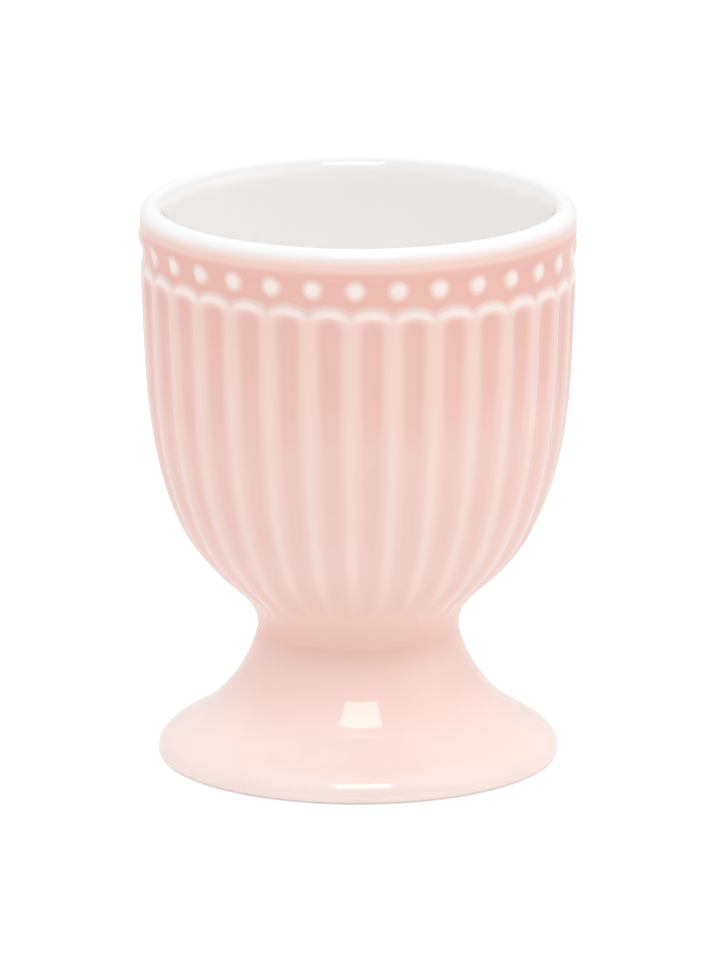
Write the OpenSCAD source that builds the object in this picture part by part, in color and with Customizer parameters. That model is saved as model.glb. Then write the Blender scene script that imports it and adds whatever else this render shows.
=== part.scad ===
// Footed ceramic egg cup: a fluted, beaded bowl luted to a flared hollow foot, glazed pink and white.
// Origin at the centre of the base, +Z up, millimetres. The front of the cup faces -Y.

/* [Overall] */
// Height from the table to the top of the rim
cup_height = 64.7; // [60:0.1:72]
// Diameter of the waist between bowl and foot
waist_d = 23.1; // [21:0.1:26]
// Height of the waist above the table
waist_height = 15.4; // [14.5:0.1:16.5]
// Largest diameter of the foot
foot_d = 45.8; // [43:0.1:49]

/* [Mouth] */
// Inside diameter of the mouth, which takes the egg
mouth_d = 44; // [42:0.1:45.5]
// Length of the straight band inside the mouth
mouth_band = 11; // [6:0.5:16]
// Thickness of the wall under the rim
lip_t = 2.85; // [2.4:0.05:3.4]
// Height of the bottom of the hollow above the waist
hollow_floor_rise = 3.8; // [2.6:0.1:6]

/* [Bowl outline] */
// Distance from the top of the rim down to the shoulder, where the nearly straight wall starts to curve in
shoulder_drop = 19.1; // [16:0.1:22]
// How far the shoulder stands outside the mouth's radius
shoulder_out = 2.3; // [1.8:0.05:2.8]
// Lean of the wall at the shoulder, in degrees from upright
shoulder_lean = 3; // [1:0.5:6]
// Height of the belly, where the outline turns from bulging to hollow, above the waist
belly_rise = 7.2; // [6.4:0.1:8]
// Thickness of the wall at the belly, measured level
belly_t = 4.5; // [3.8:0.1:5.2]
// Lean of the outline at the belly, in degrees from upright
belly_lean = 41.4; // [36:0.1:46]

/* [Flutes] */
// Number of flutes, and of beads, round the bowl
flute_count = 32; // [24:1:36]
// Depth of a flute at its top end
flute_depth = 0.5; // [0.3:0.02:0.6]
// Distance from the top of the rim down to the top of the arches
arch_drop = 7.3; // [6.8:0.1:9]
// Radius of the arch that closes each flute
arch_r = 3.65; // [3:0.05:5]
// Width of the raised band between an arch and its flute
arch_band = 0.75; // [0.4:0.05:1.2]
// Width of a rib, as a share of the distance between flutes
rib_share = 0.34; // [0.2:0.01:0.5]
// Distance from the waist up to where the flutes fade out
flute_end_rise = 1.9; // [1:0.1:4]
// Turn of the first ridge from the +X axis, in degrees
flute_turn = -2; // [-6:0.1:6]

/* [Beads] */
// Diameter of a bead where it meets the channel
bead_d = 2.4; // [1.8:0.05:2.8]
// Distance from the top of the rim down to the middle of the beads
bead_drop = 4.6; // [4:0.05:5.4]
// Height that a bead stands above the channel
bead_proud = 0.42; // [0.2:0.02:0.8]
// Turn of the first bead from the +X axis, in degrees
bead_turn = -0.8; // [-5:0.1:5]
// Distance from the top of the rim down to the top of the bead channel
channel_drop = 3.3; // [2.6:0.05:3.6]
// Depth of the bead channel
channel_depth = 0.3; // [0.15:0.01:0.45]

/* [Foot] */
// Width of the hem, from where the flare ends out to the edge of the foot
hem_w = 3.7; // [2.8:0.05:4.6]
// Height where the flare ends and the hem starts
hem_height = 4.35; // [4:0.05:5]
// Lean of the flare there, in degrees from upright
hem_lean = 59.7; // [55:0.1:66]
// Height of the widest place of the foot
edge_height = 0.9; // [0.75:0.05:1.6]
// Radius of the rounded bottom edge
edge_r = 0.5; // [0.3:0.05:0.55]
// How far the dry ring that stands on the table lies inside the edge of the foot
ring_inset = 1.7; // [1.4:0.05:2.8]
// Width of the dry ring
ring_w = 2.4; // [1.6:0.1:3.2]
// Height that the dry ring stands below the glaze
ring_proud = 0.2; // [0.1:0.05:0.4]
// Height of the hollow under the foot
recess_height = 9.4; // [8:0.1:10]

/* [Luting joint and glaze] */
// Thickness of the slip between bowl and foot
slip_t = 0.4; // [0.2:0.05:0.8]
// Depth of the dished seat in which the bowl's rounded bottom sits
seat_sag = 1.6; // [1:0.1:2]
// Thickness of the glaze
glaze_t = 0.25; // [0.15:0.01:0.3]
// Distance from the top of the rim down to where the pink glaze starts
glaze_line_drop = 1.2; // [0.9:0.05:1.6]

/* [Hidden] */
$fn = 96;

clay = "#ece6dc";
slip = "#d9cfc2";
pink = "#f0cac1";
white = "#fafaf8";

// Steps of the curves, and the facets of small round cutters and beads
wall_steps = 2;
belly_steps = 6;
tuck_steps = 3;
flare_steps = 6;
hem_steps = 3;
hollow_steps = 10;
arc_steps = 4;
small_fn = 32;
// How far a cut runs past what it cuts
overrun = 2;

// Plain radii and heights
mouth_r = mouth_d / 2;
rim_r = mouth_r + lip_t;
shoulder_r = mouth_r + shoulder_out;
waist_r = waist_d / 2;
foot_r = foot_d / 2;
hem_r = foot_r - hem_w;
ring_r = foot_r - ring_inset;
recess_r = ring_r - ring_w;
lip_r = lip_t / 2;
lip_height = cup_height - lip_r;
shoulder_height = cup_height - shoulder_drop;
belly_height = waist_height + belly_rise;
floor_height = waist_height + hollow_floor_rise;
glaze_line = cup_height - glaze_line_drop;
// Top of the foot casting's edge: the slip fills the gap between it and the waist
neck_height = waist_height - slip_t;

// Lengths of the curves' handles, as shares of the stretch that each curve spans
wall_share = 0.28;
wall_end_share = 0.2;
belly_share = 0.68;
belly_end_share = 0.1;
tuck_share = 0.4;
tuck_end_share = 0.35;
flare_share = 0.06;
flare_end_share = 0.52;
hem_share = 0.3;
hem_end_share = 0.3;
hollow_share = 0.48;
hollow_floor_share = 0.92;
recess_low_share = 0.89;
recess_rise_share = 0.34;
recess_top_share = 0.66;

// Flutes: floors sunk between ribs that keep the full outline, closed above by arched bands
flute_step = 360 / flute_count;
flute_middle = flute_turn + flute_step / 2;
arch_top = cup_height - arch_drop;
arch_height = arch_top - arch_r;
arch_sag = arch_r - sqrt(arch_r * arch_r - pow(PI * rim_r / flute_count, 2));
// The flutes' floors start behind the arched bands, at this share of the bands' width
floor_share = 0.8;
floor_top = arch_top - floor_share * arch_band;
flute_end = waist_height + flute_end_rise;
fade_share = 0.22;
fade_length = fade_share * (arch_top - flute_end);
// Depth to which the ribs' outline dives at its lower end, and thickness that it runs into the wall
rib_sink = 0.3;
rib_root = 1.4;

// Bead channel and beads
channel_top = cup_height - channel_drop;
channel_slope = 0.3;
bead_height = cup_height - bead_drop;
bead_r = bead_d / 2;
// A bead is the cap of this ball that runs bead_root deep into the wall
bead_ball = (bead_r * bead_r + bead_proud * bead_proud) / (2 * bead_proud);
bead_root = 1.2;

// A point at distance d back along a line that leans a degrees from upright
function back(p, a, d) = p + d * [sin(a), cos(a)];
// The same on the flare, which leans the other way
function back_out(p, a, d) = p + d * [-sin(a), cos(a)];

// Smooth curve through four handles: its point, its direction, and a stretch of it moved inwards
function at(p, t) = pow(1 - t, 3) * p[0] + 3 * t * pow(1 - t, 2) * p[1]
    + 3 * t * t * (1 - t) * p[2] + pow(t, 3) * p[3];
function along(p, t) = let (v = pow(1 - t, 2) * (p[1] - p[0]) + 2 * t * (1 - t) * (p[2] - p[1])
    + t * t * (p[3] - p[2])) v / norm(v);
function curve(p, steps, inset, first = 0) = [for (i = [first : steps])
    let (q = at(p, i / steps), v = along(p, i / steps)) [q[0] + inset * v[1], q[1] - inset * v[0]]];
// Points of an arc about c, from angle a to angle b
function arc(c, r, a, b, steps = arc_steps) = [for (i = [0 : steps])
    let (w = a + (b - a) * i / steps) c + r * [cos(w), sin(w)]];
// A list turned round, and a list without its last point
function turned(list) = [for (i = [len(list) - 1 : -1 : 0]) list[i]];
function but_last(list) = [for (i = [0 : len(list) - 2]) list[i]];

// Hollow of the bowl, from the mouth down to the axis, moved outwards by inset
hollow_top = lip_height - mouth_band;
hollow_drop = hollow_top - floor_height;
hollow_curve = [[mouth_r, hollow_top], [mouth_r, hollow_top - hollow_share * hollow_drop],
    [hollow_floor_share * mouth_r, floor_height], [0, floor_height]];
function hollow_line(inset) = curve(hollow_curve, hollow_steps, -inset);

// Radius at height z on the straights between a line's points
function line_r(line, z, i = 0) = line[i + 1][1] <= z || i + 2 == len(line)
    ? line[i][0] + (line[i + 1][0] - line[i][0]) * (line[i][1] - z) / (line[i][1] - line[i + 1][1])
    : line_r(line, z, i + 1);
// The belly stands outside the hollow by the thickness of its wall
belly_r = line_r(hollow_line(0), belly_height) + belly_t;

// The curves of the glazed outside, from the rim down
wall_curve = let (a = [rim_r, lip_height], b = [shoulder_r, shoulder_height], s = norm(a - b))
    [a, a - [0, wall_share * s], back(b, shoulder_lean, wall_end_share * s), b];
belly_curve = let (a = [shoulder_r, shoulder_height], b = [belly_r, belly_height], s = norm(a - b))
    [a, back(a, shoulder_lean, -belly_share * s), back(b, belly_lean, belly_end_share * s), b];
tuck_curve = let (a = [belly_r, belly_height], b = [waist_r, waist_height], s = norm(a - b))
    [a, back(a, belly_lean, -tuck_share * s), b + [0, tuck_end_share * s], b];
flare_curve = let (a = [waist_r, neck_height], b = [hem_r, hem_height], s = norm(a - b))
    [a, a - [0, flare_share * s], back_out(b, hem_lean, flare_end_share * s), b];
hem_curve = let (a = [hem_r, hem_height], b = [foot_r, edge_height], s = norm(a - b))
    [a, back_out(a, hem_lean, -hem_share * s), b + [0, hem_end_share * s], b];

// Outlines of the bowl and of the foot, moved inwards by inset
function bowl_line(inset) = concat(curve(wall_curve, wall_steps, inset),
    curve(belly_curve, belly_steps, inset, 1), curve(tuck_curve, tuck_steps, inset, 1));
edge_centre = [foot_r - edge_r, edge_r + ring_proud];
function foot_line(inset) = concat(curve(flare_curve, flare_steps, inset),
    curve(hem_curve, hem_steps, inset, 1), arc(edge_centre, edge_r - inset, 0, -90),
    [[ring_r, ring_proud + inset]]);
// Lip over the wall, from an angle down to where the outside starts
lip_centre = [rim_r - lip_r, lip_height];
function lip_line(inset, from) = but_last(arc(lip_centre, lip_r - inset, from, 0, 2 * arc_steps));

// Whole arc of the lip above the glaze line
function lip_arc(inset) = arc(lip_centre, lip_r - inset, 180,
    asin((glaze_line - lip_height) / (lip_r - inset)), 2 * arc_steps);

// Dished seat under the bowl, from the waist to the axis
seat_r = waist_r - glaze_t;
seat_ball = (seat_r * seat_r + seat_sag * seat_sag) / (2 * seat_sag);
seat_angle = asin(seat_r / seat_ball);
function seat_line(edge) = [for (i = [1 : arc_steps]) let (w = seat_angle * (1 - i / arc_steps))
    [seat_ball * sin(w), edge - seat_sag + seat_ball * (1 - cos(w))]];

// Hollow under the foot, from the ring up to the axis, moved into the clay by inset
recess_curve = [[recess_r, ring_proud], [recess_low_share * recess_r, recess_rise_share * recess_height],
    [recess_top_share * recess_r, recess_height], [0, recess_height]];
function recess_line(inset) = curve(recess_curve, flare_steps, inset);
ring_inner_r = recess_line(glaze_t)[0][0];

// Depth of the flutes at height z: they fade out towards their lower ends
function flute_depth_at(z) = z < flute_end ? 0 : flute_depth * min(1, (z - flute_end) / fade_length);
// Outline of the bowl with the bead channel and the flute floors sunk into it
function core_line(inset) = let (line = bowl_line(inset), top = channel_top + inset) concat(
    [line[0], [line_r(line, top), top],
    [line_r(line, top) - channel_depth, top - channel_slope],
    [line_r(line, floor_top) - channel_depth, floor_top],
    [line_r(line, floor_top) - flute_depth, floor_top - channel_slope]],
    [for (p = line) if (p[1] < floor_top - channel_slope) [p[0] - flute_depth_at(p[1]), p[1]]]);
// The full outline, which the ribs and arched bands keep and which dives in where the flutes end
function rib_line(inset) = let (line = bowl_line(inset)) concat(
    [[line_r(line, arch_top + arch_band), arch_top + arch_band]],
    [for (p = line) if (p[1] < arch_top + arch_band && p[1] > waist_height)
        [p[0] - (p[1] < flute_end ? rib_sink : 0), p[1]]]);

module round_the_bowl(turn) {
    for (k = [0 : flute_count - 1]) rotate([0, 0, turn + k * flute_step]) children();
}

module across_the_wall(r) {
    translate([rim_r - overrun, 0, arch_height])
        rotate([0, 90, 0]) cylinder(r = r, h = 2 * overrun, $fn = 2 * small_fn);
}

// Upright wedges that the ribs between the flutes are cut from
module rib_wedges(inset) {
    half = rib_share * flute_step / 2 - asin(inset / rim_r);
    round_the_bowl(flute_turn)
        translate([0, 0, waist_height])
            linear_extrude(height = arch_top - arch_sag - waist_height)
                polygon([for (p = [[waist_r / 2, -half], [rim_r + overrun, -half],
                    [rim_r + overrun, half], [waist_r / 2, half]]) p[0] * [cos(p[1]), sin(p[1])]]);
}

// Arched bands that close the flutes, as rings across the wall with their lower halves cut off
module arched_bands(inset) {
    difference() {
        round_the_bowl(flute_middle) across_the_wall(arch_r - inset);
        round_the_bowl(flute_middle) across_the_wall(arch_r - arch_band + inset);
        translate([0, 0, arch_height - 2 * arch_r]) cylinder(r = rim_r + 2 * overrun, h = 2 * arch_r);
    }
}

module beads(inset) {
    bead_axis_r = line_r(bowl_line(0), bead_height) - channel_depth + bead_proud - bead_ball;
    round_the_bowl(bead_turn)
        translate([bead_axis_r, 0, bead_height]) intersection() {
            rotate([0, 0, 180]) sphere(r = bead_ball - inset, $fn = small_fn);
            translate([bead_ball - bead_root, -bead_ball, -bead_ball])
                cube([bead_root, 2 * bead_ball, 2 * bead_ball]);
        }
}

// Bowl outside with its channel, flutes and beads: inset 0 is the glazed face, glaze_t is the clay.
// inner and bottom close the outline on the side of the axis.
module decorated_bowl(inset, inner, bottom) {
    ring = rib_line(inset);
    rotate([0, 0, flute_middle]) rotate_extrude() polygon(concat(inner, core_line(inset), bottom));
    intersection() {
        rotate([0, 0, flute_middle]) rotate_extrude()
            polygon(concat(ring, [for (p = turned(ring)) p - [rib_root, 0]]));
        union() {
            rib_wedges(inset);
            arched_bands(inset);
        }
    }
    beads(inset);
}

module bowl_body() {
    color(clay) decorated_bowl(glaze_t, concat(turned(hollow_line(glaze_t)), lip_line(glaze_t, 180)),
        seat_line(waist_height));
}

module foot_body() {
    color(clay) rotate_extrude() polygon(concat(turned(seat_line(neck_height)), foot_line(glaze_t),
        [[ring_r, 0], [ring_inner_r, 0]], recess_line(glaze_t)));
}

module luting_slip() {
    color(slip) rotate_extrude() polygon(concat([[seat_r, waist_height]], seat_line(waist_height),
        turned(seat_line(neck_height)), [[seat_r, neck_height]]));
}

module outer_glaze() {
    start = asin((glaze_line - lip_height) / lip_r);
    color(pink) difference() {
        decorated_bowl(0, concat([[0, glaze_line]], lip_line(0, start)),
            concat(foot_line(0), [[0, ring_proud]]));
        decorated_bowl(glaze_t, concat([[0, cup_height]], lip_line(glaze_t, 90)),
            concat(foot_line(glaze_t), [[ring_r, 0], [0, 0]]));
    }
}

module inner_glaze() {
    color(white) rotate_extrude() polygon(concat(turned(hollow_line(0)), lip_arc(0),
        turned(lip_arc(glaze_t)), hollow_line(glaze_t)));
}

module underside_glaze() {
    color(white) rotate_extrude() polygon(concat(recess_line(0), turned(recess_line(glaze_t)),
        [[ring_inner_r, ring_proud]]));
}

bowl_body();
foot_body();
luting_slip();
outer_glaze();
inner_glaze();
underside_glaze();
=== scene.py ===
"""Glazed coats of a fluted egg cup, and the studio that it is seen in."""

import math

import bmesh
import bpy
from bmesh.types import BMVert
from bpy.props import FloatProperty, FloatVectorProperty, IntProperty, PointerProperty
from bpy.types import NodeSocket, Operator, Panel, PropertyGroup
from mathutils import Matrix, Vector
from mathutils.geometry import interpolate_bezier


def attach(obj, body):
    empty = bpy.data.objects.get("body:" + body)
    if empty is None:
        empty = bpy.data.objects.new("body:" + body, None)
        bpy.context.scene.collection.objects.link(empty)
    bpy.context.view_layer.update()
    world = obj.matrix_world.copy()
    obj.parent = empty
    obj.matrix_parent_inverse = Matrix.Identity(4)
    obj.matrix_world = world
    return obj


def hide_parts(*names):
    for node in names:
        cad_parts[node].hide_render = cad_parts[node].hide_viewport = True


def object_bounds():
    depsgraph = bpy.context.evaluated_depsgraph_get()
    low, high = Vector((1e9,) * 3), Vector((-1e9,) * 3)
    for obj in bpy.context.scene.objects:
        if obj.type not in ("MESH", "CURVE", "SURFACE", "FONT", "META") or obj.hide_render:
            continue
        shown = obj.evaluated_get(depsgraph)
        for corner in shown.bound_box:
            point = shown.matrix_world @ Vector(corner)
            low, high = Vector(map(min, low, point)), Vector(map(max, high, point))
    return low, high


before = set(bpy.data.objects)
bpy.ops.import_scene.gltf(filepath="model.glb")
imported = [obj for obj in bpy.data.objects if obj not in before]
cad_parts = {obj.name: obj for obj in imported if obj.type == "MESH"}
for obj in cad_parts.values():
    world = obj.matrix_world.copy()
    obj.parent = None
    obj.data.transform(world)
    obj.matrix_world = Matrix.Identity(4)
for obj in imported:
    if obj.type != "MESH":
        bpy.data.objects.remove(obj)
CAD_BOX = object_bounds()

bl_info = {
    "name": "Fluted Egg Cup",
    "version": (1, 0, 0),
    "blender": (4, 5, 0),
    "location": "View3D > Sidebar > Egg Cup",
    "description": "Adds the glaze, clay and studio of a fluted egg cup",
    "category": "Add Mesh",
}

MM = 0.001
DEPTH_LAYER = "glaze_depth"
# Points on each curve of the outline before they are thinned out
FINE_POINTS = 400
# Points on the curve of each of the two hollows
HOLLOW_POINTS = 48
# Steps along the short parts of the outlines
GLAZE_LINE_STEPS = 4
SEAM_STEPS = 8
EDGE_STEPS = 24
LIP_STEPS = 14
BAND_STEPS = 6
# Sectors of the two white coats, and steps round each sector of each coat
WHITE_SECTORS = 32
PINK_STEPS = 18
LINING_STEPS = 7
UNDERSIDE_STEPS = 6
# Distances between the pink coat's rows of points, in millimetres
SEAM_ROWS = 0.15
ARCH_ROWS = 0.26
HEM_ROWS = 0.4
FLUTE_END_ROWS = 0.55
FLARE_ROWS = 0.8
WALL_ROWS = 0.95
# The same on its back, which is out of sight
RIM_BACK_ROWS = 0.9
WALL_BACK_ROWS = 5.0
FOOT_BACK_ROWS = 1.5
# How far the close rows go on below the arches' middles and above the flutes' ends, in millimetres
ARCH_MARGIN = 1.0
FLUTE_MARGIN = 3.0
# Points closer than these, in millimetres, are one point
SAME_POINT = 0.01
DOUBLE_POINT = 0.0001
# Length of a curve's two handles, as shares of the straight line between its ends
WALL_HANDLES = (0.28, 0.2)
BELLY_HANDLES = (0.68, 0.1)
TUCK_HANDLES = (0.4, 0.35)
FLARE_HANDLES = (0.06, 0.52)
HEM_HANDLES = (0.3, 0.3)
# Depth of the pink glaze, from 0 where it runs thin to 1 where it pools, at heights in millimetres
CHANNEL_DEPTHS = ((63.5, 0.34), (63.1, 0.41), (62.4, 0.58), (61.7, 1.0), (61.0, 1.1), (60.3, 0.95), (57.0, 0.92))
RIB_DEPTHS = (
    (57.4, 0.55),
    (54.5, 0.5),
    (49.9, 0.4),
    (45.1, 0.34),
    (40.5, 0.32),
    (26.7, 0.28),
    (21.6, 0.33),
    (19.2, 0.4),
    (17.4, 0.66),
    (15.5, 0.78),
    (13.9, 0.66),
    (11.4, 0.5),
    (9.5, 0.4),
    (7.0, 0.27),
    (5.0, 0.18),
    (0.0, 0.15),
)
FLUTE_DEPTHS = (
    (57.4, 0.93),
    (54.5, 0.9),
    (45.1, 0.79),
    (40.5, 0.69),
    (30.7, 0.68),
    (26.7, 0.6),
    (21.6, 0.47),
    (19.2, 0.52),
    (17.4, 0.7),
)
# Where the glaze on an arch starts to thin, is thin and starts to pool, in its band's widths in from its outer edge
CREST_START = 1.5
CREST_FULL = 0.6
POOL_START = 0.25
# Where an arch's thin glaze starts and is full, in radii of the arch above its middle
CREST_LOW = 0.4
CREST_HIGH = 0.95
# Share of a bead's radius over which its glaze is thinnest
BEAD_TOP = 0.3
# Places of the middle two points of the two hollows' curves, as shares of radius or height
BOWL_HOLLOW_SHARES = (0.48, 0.92)
FOOT_HOLLOW_SHARES = (0.89, 0.34, 0.66)
# Where the outside of the white starts to turn pink and is pink, and where its inside starts to change from the
# rim's painted shade and is the brighter painted light within, as distances from the lip's middle in millimetres
BLUSH_START = 0.3
BLUSH_FULL = 0.8
RIM_SHADE_REACH = 0.9
INNER_LIGHT_REACH = 1.4
# Scale and detail of the noises
GLAZE_CLOUDS = (90.0, 3.0)
WHITE_CLOUDS = (60.0, 3.0)
CLAY_CLOUDS = (120.0, 4.0)
CLAY_SPECKS = (900.0, 2.0)
CLAY_GRAIN = (1400.0, 6.0)
SLIP_GRAIN = (2200.0, 6.0)
RIPPLES = (350.0, 1.0)
FLOOR_CLOUDS = (3.0, 2.0)
# Second colours of the clouds and specks, as shares of the first
CREAMY = 0.985
DARK_CLAY = 0.86
DARK_SPECK = 0.6
DARK_FLOOR = 0.99
# Where the specks' noise starts to show and shows in full, and how much it covers
SPECK_RANGE = (0.66, 0.74)
SPECK_COVER = 0.5
# Where the clay's noise goes from smooth to rough, and its roughness at both ends
CLAY_RANGE = (0.3, 0.7)
CLAY_ROUGHNESS = (0.72, 0.88)
FLOOR_ROUGHNESS = 0.9
# Depths of the bumps, in millimetres
RIPPLE_DEPTH = 0.02
GRAIN_DEPTH = 0.06
GLAZE_IOR = 1.55
# Edges that turn by more than this stay sharp
SHARP_ANGLE = math.radians(65.0)
FLOOR_SEGMENTS = 96
# Where the surround changes on its way from front to back, the mirrored one on the same way, and from low to high
SURROUND_TURN = (-1.0, 0.25)
MIRROR_TURN = (-0.6, 0.6)
SURROUND_RISE = (0.0, 0.9)
# Where the mirrored surround below gives way to the one above
HORIZON = (-0.02, 0.0)
# Nearest and farthest distances that the camera sees, in metres
CAMERA_REACH = (0.1, 20.0)


def millimetres(name, description, size):
    """A length whose default is given in millimetres."""
    return FloatProperty(
        name=name, description=description, default=size * MM, precision=5, unit="LENGTH", subtype="DISTANCE"
    )


def degrees(name, description, angle):
    """An angle whose default is given in degrees."""
    return FloatProperty(
        name=name, description=description, default=math.radians(angle), unit="ROTATION", subtype="ANGLE"
    )


def share(name, description, value):
    """A share between nothing and the whole."""
    return FloatProperty(name=name, description=description, default=value, min=0.0, max=1.0, subtype="FACTOR")


def colour(name, description, value):
    """A colour in linear light."""
    return FloatVectorProperty(
        name=name, description=description, default=value, min=0.0, max=1.0, size=3, subtype="COLOR"
    )


def brightness(name, description, value):
    """The brightness of a glowing surface."""
    return FloatProperty(name=name, description=description, default=value, min=0.0)


def wattage(name, description, value):
    """The power of a light."""
    return FloatProperty(name=name, description=description, default=value, unit="POWER")


def position(name, description, place):
    """A place in the studio, in metres."""
    return FloatVectorProperty(
        name=name, description=description, default=place, size=3, unit="LENGTH", subtype="TRANSLATION"
    )


class CupOutline(PropertyGroup):
    """Radii and heights of the cup's outline."""

    cup_height: FloatProperty(
        name="Height",
        description="Height of the top of the rim",
        default=CAD_BOX[1].z,
        precision=5,
        unit="LENGTH",
        subtype="DISTANCE",
    )
    rim_radius: millimetres("Rim radius", "Outside radius just under the rim", 24.85)
    glaze_line: millimetres("Glaze line", "Height where the pink glaze meets the white", 63.5)
    shoulder_radius: millimetres("Shoulder radius", "Radius where the wall starts to curve in", 24.3)
    shoulder_height: millimetres("Shoulder height", "Height where the wall starts to curve in", 45.6)
    shoulder_lean: degrees("Shoulder lean", "Lean of the wall at the shoulder", 3.0)
    belly_radius: millimetres("Belly radius", "Radius where the outline turns from bulging to hollow", 17.0)
    belly_height: millimetres("Belly height", "Height where the outline turns from bulging to hollow", 22.6)
    belly_lean: degrees("Belly lean", "Lean of the outline at the belly", 41.4)
    waist_radius: millimetres("Waist radius", "Radius of the waist between bowl and foot", 11.55)
    waist_height: millimetres("Waist height", "Height of the waist", 15.4)
    seam_width: millimetres("Seam width", "Height of the luted seam under the waist", 0.4)
    hem_radius: millimetres("Hem radius", "Radius where the flare ends and the hem starts", 19.2)
    hem_height: millimetres("Hem height", "Height where the flare ends and the hem starts", 4.35)
    hem_lean: degrees("Hem lean", "Lean of the flare where the hem starts", 59.7)
    foot_radius: millimetres("Foot radius", "Largest radius of the foot", 22.9)
    edge_height: millimetres("Edge height", "Height of the widest place of the foot", 0.9)
    edge_radius: millimetres("Edge radius", "Radius of the rounded bottom edge", 0.5)
    ring_radius: millimetres("Ring radius", "Outside radius of the dry ring", 21.2)
    ring_width: millimetres("Ring width", "Width of the dry ring", 2.4)
    ring_proud: millimetres("Ring height", "Height of the dry ring below the glaze", 0.2)
    mouth_radius: millimetres("Mouth radius", "Inside radius of the mouth", 22.0)
    lip_drop: millimetres("Lip drop", "How much farther down the lip is rounded inside than outside", 0.8)
    mouth_band: millimetres("Mouth band", "Length of the straight band inside the mouth", 11.0)
    floor_height: millimetres("Hollow floor", "Height of the bottom of the bowl's hollow", 19.2)
    recess_height: millimetres("Recess height", "Height of the hollow under the foot", 9.4)
    glaze_thickness: millimetres("Glaze thickness", "Thickness of the coats of glaze", 0.25)


class CupRelief(PropertyGroup):
    """Flutes, arches, channel and beads of the bowl."""

    flute_count: IntProperty(name="Flutes", description="Number of flutes and of beads", default=32, min=8)
    flute_turn: degrees("Flute turn", "Turn of the first ridge from the X axis", -2.0)
    flute_depth: millimetres("Flute depth", "Depth of the flutes", 0.4)
    flute_low: millimetres("Flute end", "Height where the flutes have faded out", 15.9)
    flute_full: millimetres("Full depth", "Height from which the flutes have their full depth", 22.8)
    rib_share: share("Rib width", "Width of a rib as a share of the distance between flutes", 0.3)
    rib_edge: millimetres("Rib edge", "How far the roundness of a rib's edge reaches onto the rib", 0.45)
    scoop: millimetres("Scoop", "How far the slope from a rib to the floor of a flute reaches", 1.35)
    arch_height: millimetres("Arch height", "Height of the middle of the arches' circles", 54.0)
    arch_radius: millimetres("Arch radius", "Radius of the arch over each flute", 3.65)
    arch_band: millimetres("Arch band", "Width of the raised band along an arch", 0.8)
    arch_tilt: degrees("Arch tilt", "Small skew that leaves the arches a little higher on the left", 1.3)
    corner: millimetres("Corner", "Rounding of the corners at the top of a flute", 0.9)
    channel_top: millimetres("Channel top", "Height of the top of the bead channel", 61.4)
    channel_depth: millimetres("Channel depth", "Depth of the bead channel", 0.27)
    channel_slope: millimetres("Channel slope", "Width of the slope at the edges of the channel", 1.1)
    bead_turn: degrees("Bead turn", "Turn of the first bead from the X axis", -0.8)
    bead_height: millimetres("Bead height", "Height of the middle of the beads", 60.1)
    bead_tilt: degrees("Bead tilt", "Small skew that leaves the beads a little higher on the left", 0.7)
    bead_radius: millimetres("Bead radius", "Radius of a bead, out to the foot of its slope", 1.6)
    bead_proud: millimetres("Bead rise", "Height that a bead stands above the channel", 0.38)
    seam_depth: millimetres("Seam depth", "Depth of the dip in the glaze over the luted seam", 0.05)


class CupGlaze(PropertyGroup):
    """Colours and gloss of the glazes and the clay."""

    pink_thin: colour("Thin pink", "Pink glaze where it runs thin over ridges and beads", (0.84, 0.73, 0.695))
    pink_middle: colour("Middle pink", "Pink glaze at its usual depth", (0.788, 0.575, 0.525))
    pink_deep: colour("Deep pink", "Pink glaze where it pools", (0.765, 0.437, 0.382))
    # Painted shade and light: the white is darker on the brightly lit rim and brighter in the shaded hollows
    rim_white_painted_shade: colour("Rim white", "White glaze where it runs thin over the rim", (0.82, 0.82, 0.825))
    inner_white_painted_light: colour(
        "Inner white", "White glaze where it lies thick, inside and under the foot", (0.97, 0.955, 0.95)
    )
    rib_reach: millimetres("Rib reach", "How far the thin glaze of a rib reaches into the flute", 0.25)
    rib_fade: millimetres("Rib fade", "Half the width of the change in depth from a rib into a flute", 0.9)
    pool_fade: millimetres("Pool fade", "Width of the change in depth from an arch into the channel", 0.9)
    pool_drop: millimetres("Pool drop", "How far below a bead's middle the glaze round it pools", 0.25)
    pool_width: millimetres("Pool width", "Width of the pool of glaze round a bead", 0.9)
    arch_depth: share("Arch depth", "Depth of the glaze on top of the arches", 0.05)
    bead_depth: share("Bead depth", "Depth of the glaze on the beads", 0.05)
    clay: colour("Clay", "Fired clay", (0.72, 0.66, 0.58))
    slip: colour("Slip", "Fired slip in the joint", (0.62, 0.55, 0.48))
    gloss_roughness: share("Glaze roughness", "Roughness of the glossy glaze", 0.07)
    mottling: share("Mottling", "How much the depth of the pink varies from place to place", 0.12)
    # Painted light: brightens the pink at the waist, shaded by the bowl's overhang, and a little at the foot's edge
    waist_painted_light: share("Waist lift", "How much brighter the pink is at the waist than on the bowl", 0.13)
    foot_painted_light: share("Foot lift", "How much brighter the pink is at the foot's edge than on the bowl", 0.04)
    fade_width: millimetres("Fade width", "Height over which pink fades into white at the rim", 1.4)


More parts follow.
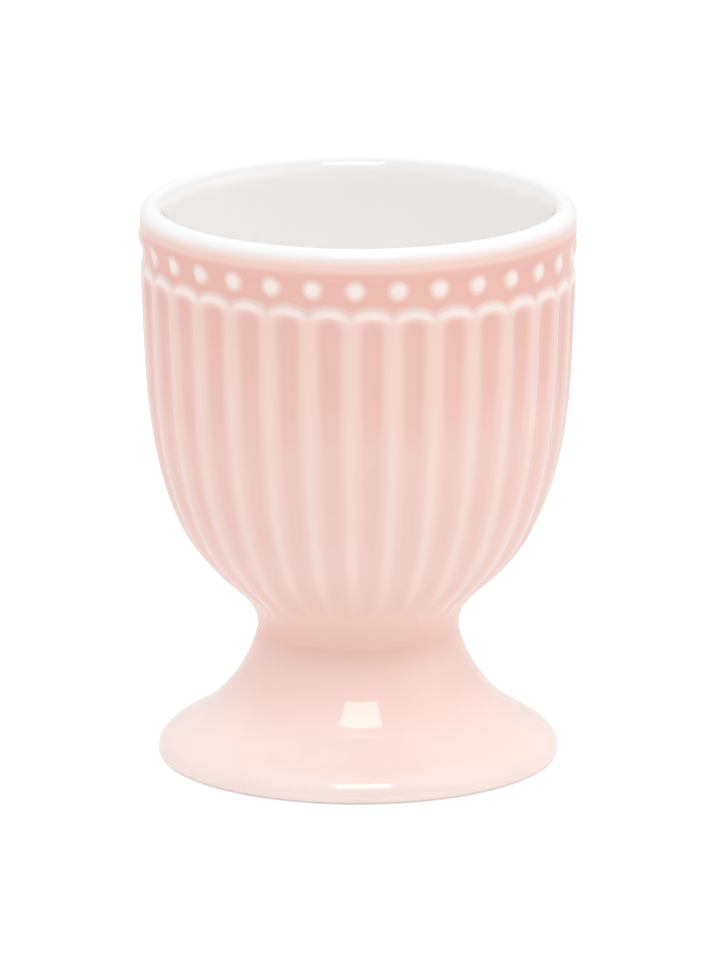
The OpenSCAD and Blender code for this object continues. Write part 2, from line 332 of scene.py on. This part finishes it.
class CupStudio(PropertyGroup):
    """Camera, floor and lights."""

    camera_distance: millimetres("Camera distance", "Distance from the camera to the cup", 1300.0)
    camera_height: degrees("Camera angle", "Height of the camera above the horizon", 14.4)
    lens: FloatProperty(name="Lens", description="Focal length", default=427.0, unit="CAMERA")
    target: position("Target", "Point that the camera looks at", (0.2 * MM, 0.0, 32.1 * MM))
    floor_size: millimetres("Floor size", "Radius of the floor", 2500.0)
    floor_colour: colour("Floor", "Colour of the floor", (0.88, 0.88, 0.88))
    floor_glow: brightness("Floor glow", "Brightness of the light that comes up through the floor", 0.27)
    surround_front: brightness("Surround, front", "Brightness of the surround behind the camera", 0.2)
    surround_back: brightness("Surround, back", "Brightness of the surround at the sides and behind the cup", 0.85)
    mirror_front: brightness("Mirrored floor, front", "Brightness that the glaze mirrors from below, in front", 1.1)
    mirror_back: brightness("Mirrored floor, back", "Brightness that the glaze mirrors from below, behind", 0.9)
    surround_high: brightness("Surround, overhead", "Brightness of the surround overhead", 1.15)
    softbox_place: position("Softbox place", "Middle of the softbox over the front of the cup", (0.026, -0.381, 0.663))
    softbox_width: millimetres("Softbox width", "Width of the softbox", 325.0)
    softbox_depth: millimetres("Softbox depth", "Depth of the softbox", 270.0)
    softbox_power: wattage("Softbox power", "Power of the softbox", 1.12)
    side_place: position("Side light place", "Middle of the light on the right", (0.9, -0.25, 0.35))
    side_size: millimetres("Side light size", "Width and height of the light on the right", 800.0)
    side_power: wattage("Side light power", "Power of the light on the right", 0.65)


def eased(low, high, value):
    """Rises smoothly from 0 at low to 1 at high."""
    part = min(1.0, max(0.0, (value - low) / (high - low)))
    return part * part * (3.0 - 2.0 * part)


def between(start, end, part):
    """The number that lies a part of the way from start to end."""
    return start + (end - start) * part


def rounded_min(first, second, blend):
    """The smaller of two distances, rounded where they are alike."""
    near = max(blend - abs(first - second), 0.0) / blend
    return min(first, second) - near * near * blend / 4.0


def centred(turns):
    """How far a number of turns is from the nearest whole one."""
    return turns - round(turns)


def upward(lean):
    """Direction up an outline that leans outwards by an angle as it rises."""
    return Vector((math.sin(lean), math.cos(lean)))


def bend(top, top_lean, bottom, bottom_lean, handles):
    """Points of a smooth curve down from one point of the outline to another."""
    span = (top - bottom).length
    first = top - upward(top_lean) * handles[0] * span
    second = bottom + upward(bottom_lean) * handles[1] * span
    return interpolate_bezier(top, first, second, bottom, FINE_POINTS)


def arc(centre, radius, start, end, steps):
    """Points of an arc between two angles."""
    angles = [between(start, end, step / steps) for step in range(steps + 1)]
    return [centre + radius * Vector((math.cos(angle), math.sin(angle))) for angle in angles]


def spaced(points, spacing):
    """The points thinned out, so that each is at least spacing(height) from the one before."""
    kept = [points[0]]
    for point in points[1:-1]:
        if (point - kept[-1]).length >= spacing(point.y):
            kept.append(point)
    return kept + [points[-1]]


def inset(points, distance):
    """The points of a line moved square to it, to the right of the way that the line runs."""
    moved = []
    for index, point in enumerate(points):
        run = points[min(index + 1, len(points) - 1)] - points[max(index - 1, 0)]
        moved.append(point + Vector((run.y, -run.x)).normalized() * distance)
    return moved


def lip_middle(outline):
    """Radius of the rounded lip, and the middle of its arc."""
    radius = (outline.rim_radius - outline.mouth_radius) / 2.0
    return radius, Vector((outline.rim_radius - radius, outline.cup_height - radius))


def outer_line(outline):
    """Fine points down the pink outside, from the glaze line to the dry ring."""
    lip_radius, lip = lip_middle(outline)
    rim = Vector((outline.rim_radius, lip.y))
    shoulder = Vector((outline.shoulder_radius, outline.shoulder_height))
    belly = Vector((outline.belly_radius, outline.belly_height))
    waist = Vector((outline.waist_radius, outline.waist_height))
    neck = waist - Vector((0.0, outline.seam_width))
    hem = Vector((outline.hem_radius, outline.hem_height))
    edge = Vector((outline.foot_radius, outline.edge_height))
    edge_middle = Vector((outline.foot_radius - outline.edge_radius, outline.edge_radius + outline.ring_proud))
    start = math.asin((outline.glaze_line - lip.y) / lip_radius)
    pieces = [
        arc(lip, lip_radius, start, 0.0, GLAZE_LINE_STEPS),
        bend(rim, 0.0, shoulder, outline.shoulder_lean, WALL_HANDLES),
        bend(shoulder, outline.shoulder_lean, belly, outline.belly_lean, BELLY_HANDLES),
        bend(belly, outline.belly_lean, waist, 0.0, TUCK_HANDLES),
        [waist.lerp(neck, step / SEAM_STEPS) for step in range(SEAM_STEPS + 1)],
        bend(neck, 0.0, hem, -outline.hem_lean, FLARE_HANDLES),
        bend(hem, -outline.hem_lean, edge, 0.0, HEM_HANDLES),
        arc(edge_middle, outline.edge_radius, 0.0, -math.pi / 2, EDGE_STEPS),
        [Vector((outline.ring_radius, outline.ring_proud))],
    ]
    line = pieces[0]
    for piece in pieces[1:]:
        line += [point for point in piece if (point - line[-1]).length > SAME_POINT * MM]
    return line


def at_height(depths, height):
    """The depth of the glaze at a height, from a list of heights and depths that goes down."""
    for (top, above), (bottom, below) in zip(depths, depths[1:]):
        if height > bottom * MM:
            return between(below, above, min(1.0, (height / MM - bottom) / (top - bottom)))
    return depths[-1][1]


def front_spacing(outline, relief, height):
    """The least distance between rows of points on the pink coat's face at a height."""
    if abs(height - outline.waist_height) < outline.seam_width * 2 or height < outline.edge_height:
        return SEAM_ROWS * MM
    if height > relief.arch_height - ARCH_MARGIN * MM:
        return ARCH_ROWS * MM
    if height < outline.waist_height:
        return (HEM_ROWS if height < outline.hem_height else FLARE_ROWS) * MM
    return (FLUTE_END_ROWS if height < relief.flute_full + FLUTE_MARGIN * MM else WALL_ROWS) * MM


def back_spacing(outline, relief, height):
    """The least distance between rows of points on the pink coat's back at a height."""
    if height > relief.arch_height:
        return RIM_BACK_ROWS * MM
    return (WALL_BACK_ROWS if height > outline.belly_height else FOOT_BACK_ROWS) * MM


def places(relief, point):
    """How far a point lies inside the nearest flute, outside and above its arch, and from the nearest bead."""
    pitch = math.tau / relief.flute_count
    angle, radius = math.atan2(point.y, point.x), point.xy.length
    across = pitch * radius * centred((angle - relief.flute_turn) / pitch - 0.5)
    rise = point.z - relief.arch_height + point.x * math.tan(relief.arch_tilt)
    outside = math.hypot(across, max(rise, 0.0)) - relief.arch_radius
    half_flute = pitch * radius * (1.0 - relief.rib_share) / 2.0
    inside = rounded_min(-outside - relief.arch_band, half_flute - abs(across), relief.corner)
    past = pitch * radius * centred((angle - relief.bead_turn) / pitch)
    from_bead = Vector((past, point.z - relief.bead_height + point.x * math.tan(relief.bead_tilt)))
    return inside, outside, rise, from_bead


def sink_at(outline, relief, inside, outside, from_bead, height):
    """How far the glaze sinks below the plain outline."""
    slope = relief.channel_slope
    channel = eased(-slope / 2, slope / 2, outside) * eased(0.0, slope, relief.channel_top - height)
    flute = eased(-relief.rib_edge, relief.scoop, inside) * eased(relief.flute_low, relief.flute_full, height)
    bead = 1.0 - eased(0.0, relief.bead_radius, from_bead.length)
    seam_middle = outline.waist_height - outline.seam_width / 2
    seam = 1.0 - eased(0.0, outline.seam_width, abs(height - seam_middle))
    sink = relief.channel_depth * channel + relief.flute_depth * flute
    return sink + relief.seam_depth * seam - relief.bead_proud * bead


def depth_at(relief, glaze, inside, outside, rise, from_bead, height):
    """How deep the glaze lies: thin on ribs, arches and beads, deep in flutes and round the beads."""
    scooped = eased(-glaze.rib_fade, glaze.rib_fade, inside - glaze.rib_reach)
    scooped *= eased(relief.flute_low, relief.flute_full, height)
    depth = between(at_height(RIB_DEPTHS, height), at_height(FLUTE_DEPTHS, height), scooped)
    band = relief.arch_band
    crest = eased(-band * CREST_START, -band * CREST_FULL, outside)
    crest *= eased(relief.arch_radius * CREST_LOW, relief.arch_radius * CREST_HIGH, rise)
    depth = between(depth, glaze.arch_depth, crest)
    pooled = eased(-band * POOL_START, glaze.pool_fade, outside)
    depth = between(depth, at_height(CHANNEL_DEPTHS, height), pooled)
    low = from_bead + Vector((0.0, glaze.pool_drop))
    ring = 1.0 - eased(relief.bead_radius, relief.bead_radius + glaze.pool_width, low.length)
    depth = max(depth, ring * pooled)
    bead = 1.0 - eased(relief.bead_radius * BEAD_TOP, relief.bead_radius, from_bead.length)
    return between(depth, glaze.bead_depth, bead)


def turned_mesh(points, sectors, steps):
    """A closed mesh turned about the axis in equal sectors, from a ring of points or a line from axis to axis."""
    middle = Vector()
    mesh = bmesh.new()
    verts = [mesh.verts.new((point.x, 0.0, point.y)) for point in points]
    nexts = verts[1:] + verts[:1] if points[0].x > 0.0 else verts[1:]
    edges = [mesh.edges.new(pair) for pair in zip(verts, nexts)]
    sector = math.tau / sectors
    bmesh.ops.spin(
        mesh,
        geom=verts + edges,
        cent=middle,
        axis=(0.0, 0.0, 1.0),
        dvec=middle,
        angle=sector,
        steps=steps,
        use_merge=sectors == 1,
        use_duplicate=False,
    )
    first = [*mesh.verts, *mesh.edges, *mesh.faces]
    for number in range(1, sectors):
        copied = bmesh.ops.duplicate(mesh, geom=first)["geom"]
        turned = [item for item in copied if isinstance(item, BMVert)]
        bmesh.ops.rotate(mesh, cent=middle, matrix=Matrix.Rotation(number * sector, 3, "Z"), verts=turned)
    bmesh.ops.remove_doubles(mesh, verts=mesh.verts, dist=DOUBLE_POINT * MM)
    bmesh.ops.recalc_face_normals(mesh, faces=mesh.faces)
    return mesh


def finished_piece(name, mesh, material, node):
    """Makes a mesh a piece of the cup: smooth, with its material, in place of its CAD node."""
    if not mesh.faces:
        raise RuntimeError(f"{name} has no faces")
    data = bpy.data.meshes.new(name)
    mesh.to_mesh(data)
    mesh.free()
    data.shade_smooth()
    data.set_sharp_from_angle(angle=SHARP_ANGLE)
    data.materials.append(material)
    piece = bpy.data.objects.new(name, data)
    bpy.context.scene.collection.objects.link(piece)
    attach(piece, "root")
    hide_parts(node)


def add_node(tree, kind, inputs, **settings):
    """A shader node with its settings, and its inputs set to values or linked to outputs."""
    node = tree.nodes.new(kind)
    for name, value in settings.items():
        setattr(node, name, value)
    for name, value in inputs.items():
        if isinstance(value, NodeSocket):
            tree.links.new(value, node.inputs[name])
        else:
            node.inputs[name].default_value = value
    return node


def opaque(value):
    """A colour with full alpha."""
    return (*value, 1.0)


def darkened(value, part):
    """A colour darkened to a part of its brightness."""
    return tuple(channel * part for channel in value)


def mixed(tree, part, first, second):
    """Output of a node that mixes two colours, whose sockets share their names with others and go by number."""
    inputs = {0: part, 6: first, 7: second}
    return add_node(tree, "ShaderNodeMix", inputs, data_type="RGBA").outputs[2]


def patterned(tree, scale, detail):
    """Output of a noise on the object's own coordinates."""
    place = add_node(tree, "ShaderNodeTexCoord", {}).outputs["Object"]
    return add_node(tree, "ShaderNodeTexNoise", {"Vector": place, "Scale": scale, "Detail": detail}).outputs[0]


def mapped(tree, value, low, high, start=0.0, end=1.0):
    """Output of a node that takes low to high smoothly onto start to end."""
    inputs = {"Value": value, "From Min": low, "From Max": high, "To Min": start, "To Max": end}
    return add_node(tree, "ShaderNodeMapRange", inputs, interpolation_type="SMOOTHSTEP").outputs[0]


def calculated(tree, operation, first, second):
    """Output of a node that does a sum."""
    return add_node(tree, "ShaderNodeMath", {0: first, 1: second}, operation=operation).outputs[0]


def new_material(name):
    """An empty material and its node tree."""
    material = bpy.data.materials.new(name)
    material.use_nodes = True
    material.node_tree.nodes.clear()
    return material, material.node_tree


def bumped(tree, height, depth):
    """Output of a node that bumps a surface by a pattern, to a depth in millimetres."""
    return add_node(tree, "ShaderNodeBump", {"Height": height, "Distance": depth * MM}).outputs[0]


def shaded(tree, inputs):
    """Ends a material with a Principled shader."""
    shader = add_node(tree, "ShaderNodeBsdfPrincipled", inputs)
    add_node(tree, "ShaderNodeOutputMaterial", {"Surface": shader.outputs[0]})


def glazed(tree, tint, glaze):
    """Ends a material as glossy glaze over faint ripples."""
    normal = bumped(tree, patterned(tree, *RIPPLES), RIPPLE_DEPTH)
    shaded(tree, {"Base Color": tint, "Roughness": glaze.gloss_roughness, "IOR": GLAZE_IOR, "Normal": normal})


def height_and_radius(tree):
    """Outputs for the height of a place on the cup and its distance from the axis."""
    place = add_node(tree, "ShaderNodeTexCoord", {}).outputs["Object"]
    parts = add_node(tree, "ShaderNodeSeparateXYZ", {"Vector": place}).outputs
    flat = add_node(tree, "ShaderNodeCombineXYZ", {"X": parts["X"], "Y": parts["Y"]}).outputs[0]
    radius = add_node(tree, "ShaderNodeVectorMath", {0: flat}, operation="LENGTH").outputs["Value"]
    return parts["Z"], radius


def whiteness(tree, outline, glaze):
    """Output that rises from 0 to 1 as pink glaze fades into white up the outside of the rim."""
    height, _ = height_and_radius(tree)
    half = glaze.fade_width / 2
    return mapped(tree, height, outline.glaze_line - half, outline.glaze_line + half)


def pink_glaze(outline, glaze):
    """Glossy pink glaze, pale where it is thin and deeper where it pools, fading to white at the rim."""
    material, tree = new_material("pink_glaze")
    depth = add_node(tree, "ShaderNodeAttribute", {}, attribute_name=DEPTH_LAYER).outputs["Fac"]
    cloud = patterned(tree, *GLAZE_CLOUDS)
    drift = calculated(tree, "MULTIPLY", calculated(tree, "SUBTRACT", cloud, 0.5), glaze.mottling * 2)
    depth = calculated(tree, "ADD", depth, drift)
    thin = mixed(tree, mapped(tree, depth, 0.0, 0.5), opaque(glaze.pink_thin), opaque(glaze.pink_middle))
    pink = mixed(tree, mapped(tree, depth, 0.5, 1.0), thin, opaque(glaze.pink_deep))
    height, _ = height_and_radius(tree)
    # Painted light: brightest at the waist, in the bowl's shade, easing off up to the belly and down to the foot
    painted_waist_level = 1.0 + glaze.waist_painted_light
    down = mapped(tree, height, outline.belly_height, outline.waist_height, 1.0, painted_waist_level)
    up = mapped(tree, height, 0.0, outline.waist_height, 1.0 + glaze.foot_painted_light, painted_waist_level)
    lift = calculated(tree, "MINIMUM", down, up)
    pink = add_node(tree, "ShaderNodeHueSaturation", {"Color": pink, "Value": lift}).outputs[0]
    tint = mixed(tree, whiteness(tree, outline, glaze), pink, opaque(glaze.rim_white_painted_shade))
    glazed(tree, tint, glaze)
    return material


def white_glaze(outline, glaze):
    """Glossy white glaze, cooler and darker on the rim as painted shade, tinted pink where it meets the pink outside.
    """
    material, tree = new_material("white_glaze")
    _, radius = height_and_radius(tree)
    _, lip = lip_middle(outline)
    inner = mapped(tree, radius, lip.x + BLUSH_FULL * MM, lip.x + BLUSH_START * MM)
    # Painted shade and light: the rim's darker white gives way inwards to the brighter white within
    over = mapped(tree, radius, lip.x - INNER_LIGHT_REACH * MM, lip.x - RIM_SHADE_REACH * MM)
    cloud = patterned(tree, *WHITE_CLOUDS)
    brightened = mixed(tree, cloud, opaque(glaze.inner_white_painted_light), opaque(darkened(glaze.inner_white_painted_light, CREAMY)))
    white = mixed(tree, over, brightened, opaque(glaze.rim_white_painted_shade))
    fade = calculated(tree, "MAXIMUM", whiteness(tree, outline, glaze), inner)
    tint = mixed(tree, fade, opaque(glaze.pink_middle), white)
    glazed(tree, tint, glaze)
    return material


def bare_clay(name, base, grain):
    """Unglazed fired clay: matt, with fine grain and a few darker specks."""
    material, tree = new_material(name)
    cloud = patterned(tree, *CLAY_CLOUDS)
    tint = mixed(tree, cloud, opaque(base), opaque(darkened(base, DARK_CLAY)))
    speck = mapped(tree, patterned(tree, *CLAY_SPECKS), *SPECK_RANGE)
    tint = mixed(tree, calculated(tree, "MULTIPLY", speck, SPECK_COVER), tint, opaque(darkened(base, DARK_SPECK)))
    rough = mapped(tree, cloud, *CLAY_RANGE, *CLAY_ROUGHNESS)
    normal = bumped(tree, patterned(tree, *grain), GRAIN_DEPTH)
    shaded(tree, {"Base Color": tint, "Roughness": rough, "Normal": normal})
    return material


class CUP_OT_clay(Operator):
    """Gives the bowl, the foot and the joint between them their bare fired clay"""

    bl_idname = "cup.clay"
    bl_label = "Clay bodies"
    bl_options = {"REGISTER", "UNDO"}

    def execute(self, context):
        glaze = context.scene.cup_glaze
        clay = bare_clay("fired_clay", glaze.clay, CLAY_GRAIN)
        slip = bare_clay("fired_slip", glaze.slip, SLIP_GRAIN)
        for node, material in (("bowl_body", clay), ("foot_body", clay), ("luting_slip", slip)):
            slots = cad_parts[node].material_slots
            if not slots:
                raise RuntimeError(f"{node} has no material to change")
            for slot in slots:
                slot.material = material
        return {"FINISHED"}


class CUP_OT_pink_coat(Operator):
    """Adds the pink coat over the outside, with its flutes, arches, bead channel and beads"""

    bl_idname = "cup.pink_coat"
    bl_label = "Pink coat"
    bl_options = {"REGISTER", "UNDO"}

    def execute(self, context):
        scene = context.scene
        outline = scene.cup_outline
        relief = scene.cup_relief
        glaze = scene.cup_glaze
        fine = outer_line(outline)
        back = spaced(fine, lambda height: back_spacing(outline, relief, height))
        back = inset(back, outline.glaze_thickness)
        back[0].y = outline.glaze_line
        face = spaced(fine, lambda height: front_spacing(outline, relief, height))
        mesh = turned_mesh(face + back[::-1], relief.flute_count, PINK_STEPS)
        layer = mesh.verts.layers.float.new(DEPTH_LAYER)
        for vert in mesh.verts:
            height = vert.co.z
            inside, outside, rise, from_bead = places(relief, vert.co)
            vert[layer] = depth_at(relief, glaze, inside, outside, rise, from_bead, height)
            vert.co.xy *= 1.0 - sink_at(outline, relief, inside, outside, from_bead, height) / vert.co.xy.length
        finished_piece("pink_coat", mesh, pink_glaze(outline, glaze), "outer_glaze")
        return {"FINISHED"}


class CUP_OT_white_lining(Operator):
    """Adds the white coat that lines the bowl and turns over the rim"""

    bl_idname = "cup.white_lining"
    bl_label = "White lining"
    bl_options = {"REGISTER", "UNDO"}

    def execute(self, context):
        scene = context.scene
        outline = scene.cup_outline
        glaze = scene.cup_glaze
        lip_radius, lip = lip_middle(outline)
        start = math.asin((outline.glaze_line - lip.y) / lip_radius)
        top = Vector((outline.mouth_radius, lip.y - outline.mouth_band))
        drop = top.y - outline.floor_height
        fall, reach = BOWL_HOLLOW_SHARES
        hollow = interpolate_bezier(
            top,
            top - Vector((0.0, fall * drop)),
            Vector((reach * top.x, outline.floor_height)),
            Vector((0.0, outline.floor_height)),
            HOLLOW_POINTS,
        )
        back = inset(hollow, -outline.glaze_thickness)
        band_top = lip.y - outline.lip_drop
        band = [Vector((top.x, between(band_top, top.y, step / BAND_STEPS))) for step in range(1, BAND_STEPS)]
        outer_half = arc(lip, lip_radius, start, math.pi / 2, LIP_STEPS)
        inner_half = arc(Vector((0.0, 0.0)), lip_radius, math.pi / 2, math.pi, LIP_STEPS)
        stretch = (lip_radius + outline.lip_drop) / lip_radius
        inner_half = [lip + Vector((point.x, point.y * stretch - outline.lip_drop)) for point in inner_half]
        under = arc(lip, lip_radius - outline.glaze_thickness, math.pi, start, LIP_STEPS)
        under[-1].y = outline.glaze_line
        face = outer_half + inner_half[1:] + band + hollow
        mesh = turned_mesh(face[::-1] + under[::-1] + back, WHITE_SECTORS, LINING_STEPS)
        finished_piece("white_lining", mesh, white_glaze(outline, glaze), "inner_glaze")
        return {"FINISHED"}


class CUP_OT_underside_coat(Operator):
    """Adds the white coat in the hollow under the foot"""

    bl_idname = "cup.underside_coat"
    bl_label = "Underside coat"
    bl_options = {"REGISTER", "UNDO"}

    def execute(self, context):
        scene = context.scene
        outline = scene.cup_outline
        glaze = scene.cup_glaze
        low, rise, reach = FOOT_HOLLOW_SHARES
        start = Vector((outline.ring_radius - outline.ring_width, outline.ring_proud))
        recess = interpolate_bezier(
            start,
            Vector((low * start.x, rise * outline.recess_height)),
            Vector((reach * start.x, outline.recess_height)),
            Vector((0.0, outline.recess_height)),
            HOLLOW_POINTS,
        )
        back = inset(recess, outline.glaze_thickness)
        back[0].y = outline.ring_proud
        mesh = turned_mesh(recess[::-1] + back, WHITE_SECTORS, UNDERSIDE_STEPS)
        finished_piece("underside_coat", mesh, white_glaze(outline, glaze), "underside_glaze")
        return {"FINISHED"}


class CUP_OT_studio(Operator):
    """Adds the pale floor, the white surround, the two lights and the camera"""

    bl_idname = "cup.studio"
    bl_label = "Studio"
    bl_options = {"REGISTER", "UNDO"}

    def execute(self, context):
        scene = context.scene
        studio = scene.cup_studio
        scene.view_settings.view_transform = "Standard"
        self.floor(studio)
        self.surround(scene, studio)
        self.softbox("softbox", studio.softbox_place, studio.softbox_width, studio.softbox_depth, studio.softbox_power)
        self.softbox("side_light", studio.side_place, studio.side_size, studio.side_size, studio.side_power)
        self.camera(scene, studio)
        return {"FINISHED"}

    def floor(self, studio):
        """A pale disc with a faint glow, which the glaze doesn't mirror."""
        mesh = bmesh.new()
        bmesh.ops.create_circle(mesh, cap_ends=True, segments=FLOOR_SEGMENTS, radius=studio.floor_size)
        data = bpy.data.meshes.new("floor")
        mesh.to_mesh(data)
        mesh.free()
        material, tree = new_material("studio_floor")
        cloud = patterned(tree, *FLOOR_CLOUDS)
        pale = mixed(tree, cloud, opaque(studio.floor_colour), opaque(darkened(studio.floor_colour, DARK_FLOOR)))
        glow = {"Emission Color": opaque(studio.floor_colour), "Emission Strength": studio.floor_glow}
        shaded(tree, {"Base Color": pale, "Roughness": FLOOR_ROUGHNESS, "Specular IOR Level": 0.0, **glow})
        data.materials.append(material)
        floor = bpy.data.objects.new("floor", data)
        bpy.context.scene.collection.objects.link(floor)
        floor.visible_glossy = False

    def surround(self, scene, studio):
        """White light all round, dimmer in front, and below the horizon what the glaze mirrors for a floor."""
        world = bpy.data.worlds.new("surround")
        world.use_nodes = True
        world.node_tree.nodes.clear()
        tree = world.node_tree
        way = add_node(tree, "ShaderNodeTexCoord", {}).outputs["Generated"]
        parts = add_node(tree, "ShaderNodeSeparateXYZ", {"Vector": way}).outputs
        level = mapped(tree, parts["Y"], *SURROUND_TURN, studio.surround_front, studio.surround_back)
        mirrored = mapped(tree, parts["Y"], *MIRROR_TURN, studio.mirror_front, studio.mirror_back)
        level = mapped(tree, parts["Z"], *HORIZON, mirrored, level)
        glow = mapped(tree, parts["Z"], *SURROUND_RISE, level, studio.surround_high)
        white = add_node(tree, "ShaderNodeBackground", {"Color": (1.0, 1.0, 1.0, 1.0), "Strength": glow})
        add_node(tree, "ShaderNodeOutputWorld", {"Surface": white.outputs[0]})
        scene.world = world

    def softbox(self, name, place, width, depth, power):
        """A soft rectangular light that faces the cup."""
        light = bpy.data.lights.new(name, "AREA")
        light.shape = "RECTANGLE"
        light.size = width
        light.size_y = depth
        light.energy = power
        lamp = bpy.data.objects.new(name, light)
        lamp.location = place
        lamp.rotation_euler = (-lamp.location).to_track_quat("-Z", "Y").to_euler()
        bpy.context.scene.collection.objects.link(lamp)

    def camera(self, scene, studio):
        """The camera at the photograph's distance and height."""
        view = bpy.data.cameras.new("camera")
        view.lens = studio.lens
        view.clip_start, view.clip_end = CAMERA_REACH
        camera = bpy.data.objects.new("camera", view)
        angle = studio.camera_height
        back = Vector((0.0, -math.cos(angle), math.sin(angle)))
        camera.location = Vector(studio.target) + back * studio.camera_distance
        camera.rotation_euler = (-back).to_track_quat("-Z", "Y").to_euler()
        scene.collection.objects.link(camera)
        scene.camera = camera


OPERATORS = (CUP_OT_clay, CUP_OT_pink_coat, CUP_OT_white_lining, CUP_OT_underside_coat, CUP_OT_studio)


class CUP_PT_pieces(Panel):
    """Lists the pieces of the egg cup"""

    bl_label = "Egg Cup"
    bl_idname = "CUP_PT_pieces"
    bl_space_type = "VIEW_3D"
    bl_region_type = "UI"
    bl_category = "Egg Cup"

    def draw(self, context):
        for operator in OPERATORS:
            self.layout.operator(operator.bl_idname)


GROUPS = {
    "cup_outline": CupOutline,
    "cup_relief": CupRelief,
    "cup_glaze": CupGlaze,
    "cup_studio": CupStudio,
}
CLASSES = (*GROUPS.values(), *OPERATORS, CUP_PT_pieces)


def register():
    for cls in CLASSES:
        bpy.utils.register_class(cls)
    for name, group in GROUPS.items():
        setattr(bpy.types.Scene, name, PointerProperty(type=group))


def unregister():
    for name in GROUPS:
        delattr(bpy.types.Scene, name)
    for cls in reversed(CLASSES):
        bpy.utils.unregister_class(cls)


def main():
    """Builds the cup and its studio."""
    register()
    bpy.ops.cup.clay()
    bpy.ops.cup.pink_coat()
    bpy.ops.cup.white_lining()
    bpy.ops.cup.underside_coat()
    bpy.ops.cup.studio()


if __name__ == "__main__":
    main()
